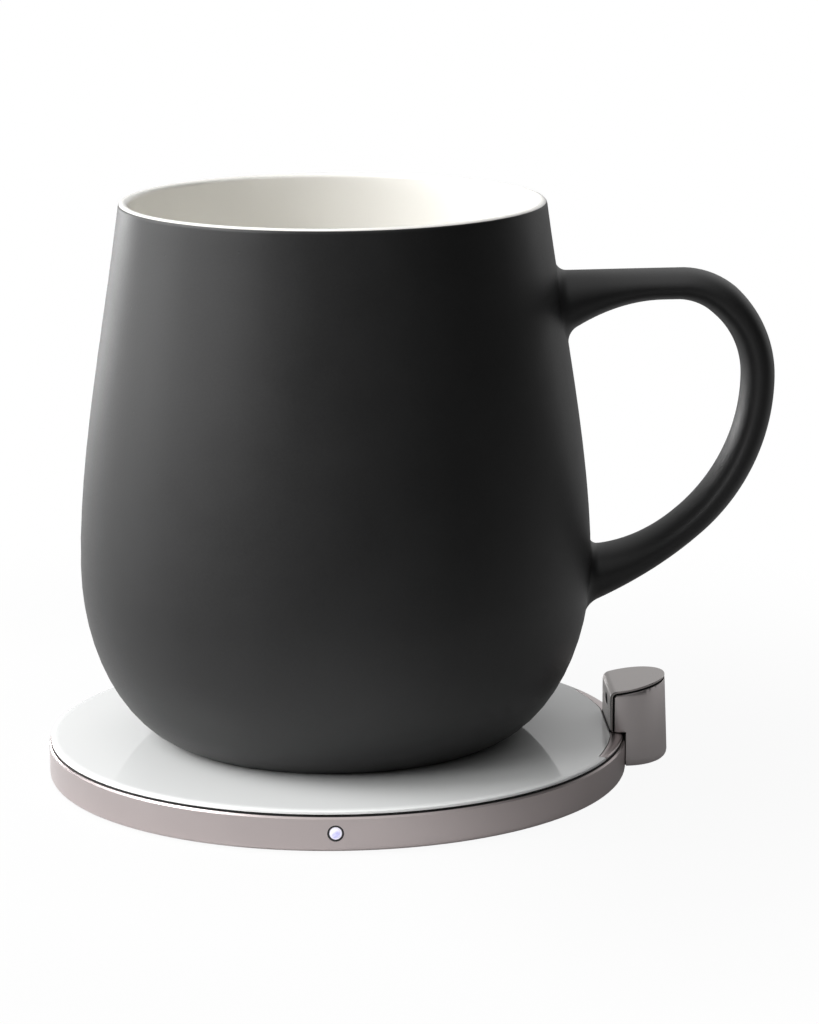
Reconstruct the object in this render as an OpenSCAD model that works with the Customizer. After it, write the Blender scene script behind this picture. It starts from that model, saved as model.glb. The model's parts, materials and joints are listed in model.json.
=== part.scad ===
// Self-heating mug on its warming pad, in millimetres.
// The origin is the middle of the pad's underside, on the table. +Z is up, +X points
// through the pad's post and the mug's handle, and the light is near the -Y side.

/* [Pad] */
// Outer diameter of the metal rim
pad_d = 104; // [96:1:130]
// Height of the rim's wall
rim_h = 6; // [5.8:0.1:9]
// Thickness of the rim's wall
rim_wall = 1.8; // [1.4:0.1:2.2]
// Thickness of the inward ledge that carries the glass
ledge_t = 1.2; // [0.8:0.1:1.3]
// Width of that ledge, from the rim's inner wall
ledge_w = 2.4; // [1.5:0.1:3]
// Round of the rim's lower outer edge
rim_round = 0.75; // [0.3:0.05:1.2]
// Chamfer of the rim's upper outer edge
rim_chamfer = 0.3; // [0.1:0.05:0.5]
// How far the rubber pad stands below the rim
foot_proud = 0.4; // [0.2:0.1:1]
// Diameter of the rubber pad
foot_d = 84; // [60:1:86]
// How deep the rubber pad sits in the base plate
foot_seat = 0.5; // [0.2:0.1:0.7]
// Thickness of the base plate
base_t = 1.2; // [1.1:0.1:1.25]

/* [Glass] */
// Thickness of the glass
glass_t = 0.7; // [0.5:0.05:1.2]
// Height of the straight part of the glass edge
glass_edge_h = 0.3; // [0.1:0.05:0.4]
// Width of the curved part of the glass edge
glass_edge_w = 1.2; // [0.5:0.1:2]
// How far the glass edge lies inside the rim
glass_inset = 0.4; // [0.2:0.05:0.8]
// Thickness of the black seal between rim and glass
gasket_t = 0.45; // [0.2:0.05:0.8]
// How far the seal lies inside the rim
gasket_inset = 0.55; // [0.45:0.05:1]
// Length of the metal land in the bite of the glass
land_len = 45; // [36:0.2:50]
// Depth of the bite in its middle
land_depth = 2.4; // [2.3:0.05:2.7]
// Depth of the bite at its ends
land_tip = 1.3; // [0.6:0.1:1.6]
// Gap between the land and the glass
land_gap = 0.12; // [0.05:0.01:0.3]

/* [Post] */
// Distance of the post's flat face from the pad's outside
post_in = 3.2; // [3:0.05:3.5]
// Depth of the post at its top, flat face to outside
post_depth = 10.5; // [9.6:0.1:12]
// Diameter of the round that the post's top is cut from
post_d = 15.2; // [14.6:0.1:18]
// Height of the post's top above the glass, at the flat face
post_h = 7.35; // [7:0.05:12]
// Rise of the top towards the outside, in degrees
post_rise = 9.9; // [0:0.1:12]
// Widening of the post towards its foot, all round
post_draft = 0.5; // [0:0.05:0.7]
// Round of the post's lower edge
post_round = 1.6; // [0.6:0.1:2]
// Height of the post's underside above the rim's underside
post_lift = 0.7; // [0.3:0.1:1]
// Thickness of the post's shell
post_wall = 1.2; // [0.9:0.1:1.4]
// Thickness of the folded cover plate
cover_t = 0.4; // [0.3:0.05:0.5]
// Outer bend radius of the cover plate
cover_bend = 1.3; // [1.0:0.1:1.6]
// Shadow gap between cover plate and shell
shadow_gap = 0.35; // [0.2:0.05:0.45]
// Width of the sensor window
window_w = 3.6; // [2.4:0.1:6]
// Height of the sensor window
window_h = 2; // [1.4:0.1:2.6]
// Height of the window's middle above the glass
window_z = 4.35; // [3.6:0.05:4.6]

/* [Indicator and inlet] */
// Angle from the post round to the light, in degrees
light_turn = 92.2; // [70:0.1:110]
// Diameter of the light pipe
lens_d = 2.4; // [1.6:0.1:2.6]
// Wall of the black collar round the light pipe
collar_wall = 0.22; // [0.15:0.01:0.3]
// Height of the light's middle above the rim's underside
light_z = 3.25; // [3:0.05:3.4]
// How far the light pipe's dome stands out
dome_h = 0.3; // [0.1:0.05:0.6]
// Width of the inlet's metal shell
inlet_w = 8.94; // [8.9:0.01:9.1]
// Height of the inlet's metal shell
inlet_h = 3.2; // [3.1:0.01:3.26]
// Length of the inlet's metal shell
inlet_len = 7.3; // [6.2:0.1:8]
// Wall of the inlet's metal shell
inlet_wall = 0.3; // [0.2:0.05:0.35]
// Height of the inlet's middle above the rim's underside
inlet_z = 2.98; // [2.95:0.01:3.05]

/* [Mug] */
// Height of the mug
mug_h = 96; // [85:1:110]
// Largest radius of the belly
belly_r = 45.6; // [42:0.1:46.4]
// Height of the largest radius above the foot
belly_z = 31.1; // [28:0.1:36]
// Outer radius of the lip
lip_r = 37.7; // [34:0.1:40]
// Radius at which the foot meets the glass
foot_r = 30.2; // [29.4:0.1:31]
// Thickness of the belly's wall
mug_wall = 4; // [3:0.1:5]
// Thickness of the lip
lip_t = 1.8; // [1.4:0.1:2.6]
// Height of the inside floor above the foot
floor_z = 10.5; // [9.4:0.1:14]
// Radius of the flat part of the inside floor
floor_r = 28; // [20:0.5:29]

/* [Handle] */
// Height of the handle's upper run above the foot
handle_top = 79.9; // [76:0.1:82]
// Reach of the handle's centre line from the mug's axis
handle_reach = 75.8; // [70:0.1:84]
// Radius of the upper bend
bend_upper = 15.5; // [12:0.1:18]
// Radius of the lower bend
bend_lower = 34.3; // [30:0.1:38]
// Turn of the lower bend before it runs straight to the belly, in degrees
lower_turn = 62.5; // [58:0.5:66]
// Thickness of the handle
handle_t = 5.6; // [4.5:0.1:7]
// Width of the handle
handle_w = 12.5; // [9:0.1:16]
// Swelling of the upper root
flare_upper = 6.2; // [3:0.1:8]
// Swelling of the lower root
flare_lower = 5; // [2:0.1:6]

/* [Heating] */
// Outer radius of the pad's winding
coil_r = 24; // [20:0.5:26]
// Turns of the pad's winding
coil_turns = 11; // [6:1:12]
// Width of the winding's wire
wire_w = 1.1; // [0.8:0.05:1.15]
// Height of the winding's wire
wire_h = 1.1; // [0.8:0.05:1.2]
// Gap between neighbouring turns
turn_gap = 0.2; // [0.15:0.05:0.3]
// Thickness of the ferrite discs
shield_t = 0.7; // [0.5:0.05:0.8]
// Thickness of the circuit boards
board_t = 0.8; // [0.6:0.1:1]
// Radius of the space for the receiver in the mug's foot
pocket_r = 25.5; // [24:0.1:26]
// Height of that space's roof above the foot
pocket_z = 6.5; // [6.4:0.1:6.9]
// Turns of the receiver's winding
receiver_turns = 10; // [6:1:11]
// Width of the heater's printed track
track_w = 1.5; // [0.8:0.1:1.8]

/* [Hidden] */
$fn = 96;

// Steps of the fine and the small curves of an outline
curve_steps = 12;
round_steps = 5;
// Play between pieces that drop into each other, and a larger one round loose pieces
fit_gap = 0.1;
loose_gap = 0.2;
// Overshoot of cuts, so that no skin is left
over = 1;

// Heights in the pad
rim_z = foot_proud;
rim_top = rim_z + rim_h;
glass_z = rim_top + gasket_t;
top_z = glass_z + glass_t;
base_top = rim_z + base_t;
board_gap = 1;
board_z = base_top + board_gap;
board_top = board_z + board_t;
coil_clear = 0.3;
coil_z = glass_z - coil_clear - wire_h;
shield_z = coil_z - shield_t;
tray_floor = 0.7;
tray_z = shield_z - tray_floor;

// Radii in the pad
rim_r = pad_d / 2;
rim_inner = rim_r - rim_wall;
ledge_r = rim_inner - ledge_w;
glass_r = rim_r - glass_inset;
gasket_r = rim_r - gasket_inset;

// Screws through the base plate into bosses of the rim
screw_r = 0.95;
screw_head_r = 1.8;
screw_play = 0.05;
screw_len = 3.6;
screw_spare = 0.5;
cross_len = 2;
cross_w = 0.3;
cross_depth = 0.4;
boss_wall = 1.6;
boss_r = screw_r + boss_wall;
boss_inset = 0.4;
boss_ring = rim_inner - boss_r - boss_inset;
boss_turns = [45, 135, 225, 315];

// Main board, its standoffs and its parts
board_outer = boss_ring - boss_r - loose_gap;
standoff_r = 1.4;
standoff_ring = 33.5;
standoff_turns = [0, 90, 180, 270];
tray_wall = 1;
tray_r = coil_r + fit_gap + tray_wall;
board_inner = tray_r + 2;
board_middle = (board_inner + board_outer) / 2;
slot_w = 4;
leg_r = 1.8;
leg_inset = 6;
leg_ring = coil_r - leg_inset;
leg_turns = [45, 165, 285];
board_arm = 2.4;

// Bite of the glass, an arc through its middle and its two ends
bite_x = glass_r - land_depth;
bite_end_x = sqrt(glass_r * glass_r - land_len * land_len / 4) - land_tip;
bite_sag = bite_x - bite_end_x;
bite_r = (land_len * land_len / 4 + bite_sag * bite_sag) / (2 * bite_sag);

// Post
post_x = rim_r - post_in;
post_r = post_d / 2;
post_mid = post_x + post_depth - post_r;
post_z = rim_z + post_lift;
post_top = top_z + post_h;
post_high = post_top + tan(post_rise) * (post_depth + post_draft);
post_gap = 0.15;
bend_x = post_x + cover_bend;
bend_z = post_top - cover_bend * (1 - sin(post_rise)) / cos(post_rise);
bracket_t = 0.8;
bracket_x = post_x + cover_t;
bracket_w = 11.4;
bracket_h = post_h - cover_bend;
sensor_board_w = 9;
sensor_board_t = 0.6;
sensor_board_x = bracket_x + bracket_t;
sensor_board_z = top_z + 1.2;
sensor_chip_w = 2.8;
sensor_chip_h = 1.8;
window_seat = 0.1;
post_screw_y = 4.8;
post_screw_z = rim_z + 2.9;
post_screw_len = 5;
post_screw_head_r = 1.6;
post_screw_head_t = 0.7;
post_screw_x = sqrt(pow(rim_inner, 2) - pow(post_screw_y + post_screw_head_r, 2));
post_boss_r = 1.7;
flex_w = 4;
flex_t = 0.2;
flex_x = rim_r + 1.6;
flex_top = top_z + 3;

// Light: its chip on the board's edge, and the pipe from there to the rim's outside
chip_w = 1.6;
chip_t = 0.7;
chip_reach = 0.4;
lens_gap = 0.8;
collar_len = rim_wall + 0.5;
collar_inset = 0.12;

// Inlet
inlet_y = rim_r - inlet_len - fit_gap;
inlet_back = 0.8;
tongue_w = 6.7;
tongue_t = 0.7;
tongue_short = 1;

// Mug, on the glass
mug_z = top_z;
belly_drop = 32;
foot_swell = sqrt(1 - pow(belly_z / belly_drop, 2));
belly_flat = (foot_r - belly_r * foot_swell) / (1 - foot_swell);
curve_pull = 20;
lip_lean = 2.46;
shoulder = [[belly_r, belly_z], [belly_r, belly_z + curve_pull],
    [lip_r + lip_lean, mug_h - curve_pull], [lip_r, mug_h - lip_t / 2]];
inner_r = belly_r - mug_wall;
inner_lip = lip_r - lip_t;
inner_shoulder = [[inner_r, belly_z], [inner_r, belly_z + curve_pull],
    [inner_lip + lip_lean, mug_h - curve_pull], [inner_lip, mug_h - lip_t / 2]];

// Receiver in the mug's foot, heights above the foot
cover_z = 0.5;
base_cover_t = 1.2;
cover_r = pocket_r + 1.6;
seal_t = 0.4;
seal_z = cover_z + base_cover_t;
seal_top = seal_z + seal_t;
receiver_r = pocket_r - 0.7;
receiver_wire_w = 1.1;
receiver_wire_h = 1;
receiver_shield_z = seal_z + receiver_wire_h;
receiver_board_z = receiver_shield_z + shield_t;
receiver_board_t = 0.6;
receiver_chip_h = 0.6;
receiver_top = receiver_board_z + receiver_board_t;
foam_inner = 17;
thermal_t = 0.3;
heater_t = 0.2;
mica_t = 0.2;
thermal_z = pocket_z - thermal_t;
heater_z = thermal_z - heater_t;
mica_z = heater_z - mica_t;
bead_r = 1.2;
track_gap = 0.8;

// Parts of the boards, as rows of angle, length, width and height
power_parts = [[60, 5, 5, 0.9], [35, 4, 4, 0.8], [305, 6, 5, 0.9], [205, 7, 7, 2.4]];
capacitor_turns = [125, 136, 147, 158];
capacitor_size = [3.2, 4.5, 2];
small_turns = [325, 331, 337, 343, 349];
small_size = [1.6, 0.8, 0.8];
receiver_parts = [[6, -2.5, 5, 5], [-12, -3, 4, 6], [-5, 9, 1.6, 0.8], [-2, 9, 1.6, 0.8],
    [1, 9, 1.6, 0.8], [4, 9, 1.6, 0.8]];

// Handle, heights above the foot
upper_x = handle_reach - bend_upper;
bend_mid_z = handle_top - bend_upper;
lower_x = handle_reach - bend_lower;
root_upper_x = outside_r(handle_top);
straight_x = lower_x + bend_lower * cos(lower_turn);
straight_z = bend_mid_z - bend_lower * sin(lower_turn);
straight_len = (straight_x - belly_r) / sin(lower_turn);
root_depth = 3.2;
root_reach = 4;
root_step = 0.6;
root_rest = 6;
bend_steps = 12;
lower_steps = 14;
section_sides = 28;
swell_upper = 13;
swell_lower = 9;
root_round = 1.4;
round_reach = 2;

metal = [0.66, 0.62, 0.62];
charcoal = [0.12, 0.12, 0.13];
plastic = [0.16, 0.16, 0.17];
copper = [0.78, 0.45, 0.25];
board_green = [0.08, 0.33, 0.2];

// Point of a cubic curve through four handles
function bezier(p, t) = pow(1 - t, 3) * p[0] + 3 * t * pow(1 - t, 2) * p[1]
    + 3 * t * t * (1 - t) * p[2] + pow(t, 3) * p[3];

// Lower belly, a quarter ellipse that the foot cuts off; from the foot up
function belly_curve(flat, r, drop, low) = [for (i = [0 : curve_steps])
    let (a = asin((belly_z - low) / drop) * (1 - i / curve_steps))
    [flat + (r - flat) * cos(a), belly_z - drop * sin(a)]];

function shoulder_curve(p) = [for (i = [1 : curve_steps]) bezier(p, i / curve_steps)];

function reverse(list) = [for (i = [len(list) - 1 : -1 : 0]) list[i]];

// Outer outline of the mug, from the foot to the lip
function mug_outline() = concat(belly_curve(belly_flat, belly_r, belly_drop, 0),
    shoulder_curve(shoulder));

// Half round of the lip, from the outside over the top to the inside
function lip_curve() = [for (i = [1 : round_steps])
    let (a = 180 * i / (round_steps + 1))
    [lip_r - lip_t / 2 + lip_t / 2 * cos(a), mug_h - lip_t / 2 + lip_t / 2 * sin(a)]];

// Inner outline of the mug, from the floor to the lip
function inner_outline() = concat(
    belly_curve(floor_r, inner_r, belly_z - floor_z, floor_z),
    shoulder_curve(inner_shoulder));

// Body of the post: round in plan, rounded at its foot and wider there than at its top
module post_body(inset, z0, edge_round) {
    translate([post_mid, 0, 0]) rotate_extrude()
        polygon(concat([[0, z0]],
            [for (i = [0 : round_steps]) let (a = 90 * i / round_steps)
                [post_r + post_draft - inset - edge_round * (1 - sin(a)),
                 z0 + edge_round * (1 - cos(a))]],
            [[post_r - inset, post_high], [0, post_high]]));
}

// Outside of the folded plate in side view, a distance inside its outer face: up the flat
// face, round the bend and out along the sloping top
function fold_line(below) = concat([[post_x + below, top_z]],
    [for (i = [0 : round_steps]) let (a = 180 - (90 - post_rise) * i / round_steps)
        [bend_x + (cover_bend - below) * cos(a), bend_z + (cover_bend - below) * sin(a)]],
    [let (reach = post_depth + post_r)
        [bend_x - (cover_bend - below) * sin(post_rise) + reach * cos(post_rise),
         bend_z + (cover_bend - below) * cos(post_rise) + reach * sin(post_rise)]]);

// Outline in side view, drawn through the whole width of the post
module across_post() {
    translate([0, pad_d / 2, 0]) rotate([90, 0, 0]) linear_extrude(pad_d) children();
}

// The bite in the glass, for the land or for the cut, which is larger: an arc, and a
// straight piece in front of the post
module bite_block(gap) {
    difference() {
        translate([0, gap - land_len / 2, rim_z])
            cube([rim_r + over, land_len - 2 * gap, top_z]);
        difference() {
            translate([bite_x - bite_r, 0, 0]) cylinder(r = bite_r + gap, h = 2 * top_z);
            translate([post_x - 2 * land_gap + gap, -land_len, 0])
                cube([pad_d, 2 * land_len, 2 * top_z]);
        }
    }
}

// Disc with the curved edge that glass and land share
module edged_disc() {
    rotate_extrude()
        polygon(concat([[0, glass_z], [glass_r, glass_z]],
            [for (i = [0 : round_steps]) let (a = 90 * i / round_steps)
                [glass_r - glass_edge_w * (1 - cos(a)),
                 glass_z + glass_edge_h + (glass_t - glass_edge_h) * sin(a)]],
            [[0, top_z]]));
}

// Flat winding: half turns about two centres, so that their ends meet
module winding(outer, turns, w, h) {
    pitch = w + turn_gap;
    for (k = [0 : 2 * turns - 1]) {
        r = outer - w - pitch * k / 2;
        translate([(k % 2 == 0 ? -1 : 1) * pitch / 4, 0, 0])
            rotate([0, 0, k % 2 == 0 ? 0 : 180])
            rotate_extrude(angle = 180) translate([r - pitch / 4, 0]) square([w, h]);
    }
}

// Flat slot with round ends, along X and upright in Z, from y0 on
module slot_along_y(w, h, y0, y_len) {
    translate([0, y0 + y_len, 0]) rotate([90, 0, 0]) linear_extrude(y_len) {
        square([w - h, h], center = true);
        for (side = [-1, 1]) translate([side * (w - h) / 2, 0]) circle(d = h);
    }
}

// Places round the pad's axis
module around(turns, ring) {
    for (turn = turns) rotate([0, 0, turn]) translate([ring, 0, 0]) children();
}

// Place of the light at a distance from the pad's axis, with Z turned towards the axis
module at_light(ring) {
    rotate([0, 0, -light_turn]) translate([ring, 0, rim_z + light_z]) rotate([0, -90, 0])
        children();
}

module foot_pad() {
    edge = min(0.2, foot_proud / 2);
    color("dimgray") rotate_extrude()
        polygon([[0, 0], [foot_d / 2 - edge, 0], [foot_d / 2, edge],
            [foot_d / 2, rim_z + foot_seat], [0, rim_z + foot_seat]]);
}

module base_plate() {
    color(plastic) difference() {
        union() {
            translate([0, 0, rim_z]) cylinder(r = rim_inner - fit_gap, h = base_t);
            around(standoff_turns, standoff_ring)
                translate([0, 0, rim_z + base_t / 2])
                    cylinder(r = standoff_r, h = board_z - rim_z - base_t / 2);
        }
        translate([0, 0, rim_z - over])
            cylinder(d = foot_d + 2 * fit_gap, h = foot_seat + over);
        around(boss_turns, boss_ring) {
            translate([0, 0, rim_z - over])
                cylinder(r = screw_r + loose_gap, h = base_t + 2 * over);
            translate([0, 0, rim_z])
                cylinder(r1 = screw_head_r + fit_gap, r2 = screw_r + loose_gap,
                    h = screw_head_r - screw_r);
        }
    }
}

module base_screws() {
    head_h = screw_head_r - screw_r;
    color("silver") around(boss_turns, boss_ring) translate([0, 0, rim_z])
        difference() {
            union() {
                cylinder(r1 = screw_head_r, r2 = screw_r, h = head_h);
                cylinder(r = screw_r, h = screw_len);
            }
            for (turn = [0, 90]) rotate([0, 0, turn])
                translate([-cross_len / 2, -cross_w / 2, -over])
                cube([cross_len, cross_w, over + cross_depth]);
        }
}

module rim_ring() {
    color(metal) difference() {
        union() {
            rotate_extrude()
                polygon(concat([[rim_inner, rim_z]],
                    [for (i = [0 : round_steps]) let (a = 90 * i / round_steps)
                        [rim_r - rim_round * (1 - sin(a)), rim_z + rim_round * (1 - cos(a))]],
                    [[rim_r, rim_top - rim_chamfer], [rim_r - rim_chamfer, rim_top],
                     [ledge_r, rim_top], [ledge_r, rim_top - ledge_t],
                     [rim_inner, rim_top - ledge_t]]));
            around(boss_turns, boss_ring) translate([0, 0, base_top])
                cylinder(r = boss_r, h = rim_top - ledge_t / 2 - base_top);
        }
        around(boss_turns, boss_ring) translate([0, 0, base_top - over])
            cylinder(r = screw_r + screw_play, h = screw_len - base_t + screw_spare + over);
        at_light(rim_r + over) cylinder(d = lens_d + 2 * collar_wall, h = rim_wall + 2 * over);
        translate([0, 0, rim_z + inlet_z])
            slot_along_y(inlet_w + 2 * fit_gap, inlet_h + 2 * fit_gap, rim_inner - over,
                rim_wall + 2 * over);
        for (side = [-1, 1])
            translate([rim_inner - over, side * post_screw_y, post_screw_z])
                rotate([0, 90, 0]) cylinder(r = screw_r + screw_play, h = rim_wall + 2 * over);
        translate([rim_inner - over, -flex_w / 2 - loose_gap, board_top - loose_gap])
            cube([rim_wall + 2 * over, flex_w + 2 * loose_gap, flex_t + 2 * loose_gap]);
    }
}

module glass_gasket() {
    color("black") translate([0, 0, rim_top]) difference() {
        cylinder(r = gasket_r, h = gasket_t);
        translate([0, 0, -over]) cylinder(r = ledge_r + fit_gap, h = gasket_t + 2 * over);
    }
}

module glass_top() {
    color("whitesmoke") difference() {
        edged_disc();
        bite_block(0);
    }
}

module main_board() {
    arm = inlet_w / 2;
    color(board_green) translate([0, 0, board_z]) difference() {
        union() {
            cylinder(r = board_outer, h = board_t);
            translate([-arm - board_arm, 0, 0])
                cube([2 * (arm + board_arm), rim_inner - board_arm, board_t]);
        }
        translate([0, 0, -over]) cylinder(r = board_inner, h = board_t + 2 * over);
        translate([-arm, inlet_y - loose_gap, -over])
            cube([2 * arm, inlet_len + over, board_t + 2 * over]);
    }
}

// One part of a board, centred on its place
module board_part(turn, ring, size) {
    rotate([0, 0, turn]) translate([ring - size[0] / 2, -size[1] / 2, board_top]) cube(size);
}

module power_chips() {
    color("black") for (p = power_parts) board_part(p[0], board_middle, [p[1], p[2], p[3]]);
}

module capacitors() {
    color("tan") {
        for (turn = capacitor_turns) board_part(turn, board_middle, capacitor_size);
        for (turn = small_turns) board_part(turn, board_middle, small_size);
    }
}

module coil_tray() {
    tray_top = coil_z + wire_h;
    color(plastic) difference() {
        union() {
            translate([0, 0, tray_z]) cylinder(r = tray_r, h = tray_top - tray_z);
            around(leg_turns, leg_ring)
                translate([0, 0, base_top]) cylinder(r = leg_r, h = shield_z - base_top);
        }
        translate([0, 0, shield_z]) cylinder(r = tray_r - tray_wall, h = tray_top);
        translate([-tray_r - over, -slot_w / 2, coil_z])
            cube([tray_wall + 2 * over, slot_w, tray_top]);
    }
}

module shield_disc() {
    color("dimgray") translate([0, 0, shield_z]) cylinder(r = coil_r, h = shield_t);
}

module transmit_coil() {
    color(copper) translate([0, 0, coil_z]) winding(coil_r, coil_turns, wire_w, wire_h);
}

// Two wires from the winding, through the tray's slot and down to the board
module coil_leads() {
    lead_r = 0.4;
    land = board_inner + 2;
    lead_z = coil_z + wire_h / 2;
    color(copper) for (side = [-1, 1]) translate([0, side, 0]) {
        translate([-land, 0, lead_z]) rotate([0, 90, 0])
            cylinder(r = lead_r, h = land - coil_r);
        translate([-land, 0, lead_z]) sphere(lead_r);
        translate([-land, 0, board_top]) cylinder(r = lead_r, h = lead_z - board_top);
    }
}

module coil_sensor() {
    sensor_r = 2.2;
    color("white") translate([0, 0, coil_z]) cylinder(r = sensor_r, h = glass_z - coil_z);
}

module led_lens() {
    dome_r = (pow(lens_d / 2, 2) + dome_h * dome_h) / (2 * dome_h);
    lens_len = rim_r - board_outer - chip_reach - lens_gap;
    color("lavender") at_light(rim_r) {
        cylinder(d = lens_d, h = lens_len);
        intersection() {
            translate([0, 0, dome_r - dome_h]) sphere(dome_r);
            translate([0, 0, -dome_h - over]) cylinder(d = lens_d, h = dome_h + over + fit_gap);
        }
    }
}

module led_collar() {
    color("black") at_light(rim_r - collar_inset) difference() {
        cylinder(d = lens_d + 2 * collar_wall, h = collar_len);
        translate([0, 0, -over]) cylinder(d = lens_d, h = collar_len + 2 * over);
    }
}

module led_chip() {
    color("ivory") rotate([0, 0, -light_turn])
        translate([board_outer + chip_reach - chip_w, -chip_w / 2, board_top])
        cube([chip_w, chip_w, chip_t]);
}

module inlet_shell() {
    color("silver") translate([0, 0, rim_z + inlet_z]) difference() {
        slot_along_y(inlet_w, inlet_h, inlet_y, inlet_len);
        slot_along_y(inlet_w - 2 * inlet_wall, inlet_h - 2 * inlet_wall,
            inlet_y + inlet_back, inlet_len);
    }
}

module inlet_tongue() {
    color("black")
        translate([-tongue_w / 2, inlet_y + inlet_back, rim_z + inlet_z - tongue_t / 2])
        cube([tongue_w, inlet_len - inlet_back - tongue_short, tongue_t]);
}

module post_bracket() {
    color(metal) {
        intersection() {
            edged_disc();
            bite_block(land_gap);
        }
        difference() {
            translate([bracket_x, -bracket_w / 2, top_z - glass_t / 2])
                cube([bracket_t, bracket_w, bracket_h + glass_t / 2]);
            translate([bracket_x - over, -sensor_chip_w / 2 - fit_gap,
                    top_z + window_z - sensor_chip_h / 2 - fit_gap])
                cube([bracket_t + 2 * over, sensor_chip_w + 2 * fit_gap,
                    sensor_chip_h + 2 * fit_gap]);
        }
    }
}

// Hollow body of the post. Its edges keep a gap to the rim, its screw bosses rest on it
module post_shell() {
    under_cover = fold_line(cover_t + shadow_gap);
    far = under_cover[len(under_cover) - 1];
    color(metal) difference() {
        union() {
            difference() {
                post_body(0, post_z, post_round);
                post_body(post_wall, post_z + post_wall, post_round / 2);
                cylinder(r = rim_r + post_gap, h = top_z + post_gap);
            }
            intersection() {
                post_body(post_wall / 2, post_z + post_wall / 2, post_round / 2);
                for (side = [-1, 1])
                    translate([rim_inner, side * post_screw_y, post_screw_z])
                        rotate([0, 90, 0]) cylinder(r = post_boss_r, h = post_depth);
                difference() {
                    cylinder(r = pad_d, h = top_z);
                    translate([0, 0, -over]) cylinder(r = rim_r, h = top_z + 2 * over);
                }
            }
        }
        across_post() polygon(concat([[0, 0]], [for (p = under_cover) p], [far + [0, post_h],
            [0, far[1] + post_h]]));
        for (side = [-1, 1])
            translate([rim_inner, side * post_screw_y, post_screw_z]) rotate([0, 90, 0])
                cylinder(r = screw_r + screw_play, h = post_screw_len + rim_wall);
    }
}

// Folded plate: a leg up the flat face, a bend, and the sloping top
module post_cover() {
    color(metal) difference() {
        intersection() {
            across_post() polygon(concat(fold_line(0), reverse(fold_line(cover_t))));
            translate([post_mid, 0, 0]) cylinder(r = post_r, h = 2 * post_high);
        }
        translate([post_x - over, 0, top_z + window_z]) rotate([0, 0, -90])
            slot_along_y(window_w, window_h, 0, 2 * over);
    }
}

module post_screws() {
    color("silver") for (side = [-1, 1])
        translate([post_screw_x, side * post_screw_y, post_screw_z]) rotate([0, 90, 0]) {
            translate([0, 0, -post_screw_head_t])
                cylinder(r = post_screw_head_r, h = post_screw_head_t);
            cylinder(r = screw_r, h = post_screw_len);
        }
}

module sensor_window() {
    color("black") translate([post_x + window_seat, 0, top_z + window_z]) rotate([0, 0, -90])
        slot_along_y(window_w, window_h, 0, cover_t - window_seat);
}

module sensor_board() {
    color(board_green) translate([sensor_board_x, -sensor_board_w / 2, sensor_board_z])
        cube([sensor_board_t, sensor_board_w, top_z + bracket_h - sensor_board_z]);
}

module sensor_chip() {
    color("black") translate([bracket_x + fit_gap, -sensor_chip_w / 2,
            top_z + window_z - sensor_chip_h / 2])
        cube([bracket_t - fit_gap, sensor_chip_w, sensor_chip_h]);
}

// Ribbon from the back of the sensor board, down past the rim and in through its wall
module sensor_flex() {
    board_back = sensor_board_x + sensor_board_t;
    flex_end = board_outer - flex_w;
    color("darkorange") translate([0, flex_w / 2, 0]) rotate([90, 0, 0]) linear_extrude(flex_w) {
        translate([board_back, flex_top]) square([flex_x - board_back, flex_t]);
        translate([flex_x - flex_t, board_top]) square([flex_t, flex_top - board_top + flex_t]);
        translate([flex_end, board_top]) square([flex_x - flex_end, flex_t]);
    }
}

module mug_body() {
    color(charcoal) translate([0, 0, mug_z]) rotate_extrude()
        polygon(concat(mug_outline(), lip_curve(), reverse(inner_outline()),
            [[0, floor_z], [0, pocket_z], [pocket_r, pocket_z], [pocket_r, seal_top],
             [cover_r + fit_gap, seal_top], [cover_r + fit_gap, 0]]));
}

// Radius of the mug's outside at a height above the foot
function outside_r(z) = lookup(z, [for (p = mug_outline()) [p[1], p[0]]]);

// Swelling that fades out over a distance
function fading(size, reach, distance) =
    size * pow(max(0, 1 - max(0, distance) / reach), 2);

// Places along a root from its start in the belly's wall, close together near the belly
function root_places(length) = concat([for (d = [-root_depth : root_step : root_reach]) d],
    [for (i = [1 : root_rest]) root_reach + (length - root_reach) * i / root_rest]);

// Row of the handle's path: the centre moves to the finger's side with half the swelling
function path_row(x, z, turn, swell) =
    [x - swell / 2 * sin(turn), z - swell / 2 * cos(turn), turn, swell];

// Centre line of the handle, as rows of place, direction in the XZ plane and swelling. It
// leaves the belly level, turns down through the upper bend, widens into the lower bend
// and runs straight back to the belly
function handle_path() = concat(
    [for (d = root_places(upper_x - root_upper_x))
        path_row(root_upper_x + d, handle_top, 0, fading(flare_upper, swell_upper, d))],
    [for (i = [1 : bend_steps]) let (a = 90 * i / bend_steps)
        path_row(upper_x + bend_upper * sin(a), bend_mid_z + bend_upper * cos(a), a, 0)],
    [for (i = [1 : lower_steps]) let (a = lower_turn * i / lower_steps)
        path_row(lower_x + bend_lower * cos(a), bend_mid_z - bend_lower * sin(a), 90 + a, 0)],
    [for (d = reverse(root_places(straight_len))) if (d < straight_len)
        let (run = straight_len - d)
        path_row(straight_x - run * sin(lower_turn), straight_z - run * cos(lower_turn),
            90 + lower_turn, fading(flare_lower, swell_lower, d))]);

// Point of an oval ring, square to the centre line, with a margin all round
function ring_point(p, a, margin) =
    let (t = ((handle_t + p[3]) / 2 + margin) * sin(a))
    [p[0] + t * sin(p[2]), (handle_w / 2 + p[3] / 4 + margin) * cos(a), p[1] + t * cos(p[2])];

// How far a point stands off the belly
function standing_off(q) = norm([q[0], q[1]]) - outside_r(q[2]);

// One ring of the handle, rounded into the belly where it is close to it
function handle_ring(p) = [for (k = [0 : section_sides - 1])
    let (a = 360 * k / section_sides, off = standing_off(ring_point(p, a, 0)))
    ring_point(p, a, fading(root_round, round_reach, off))];

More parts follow.
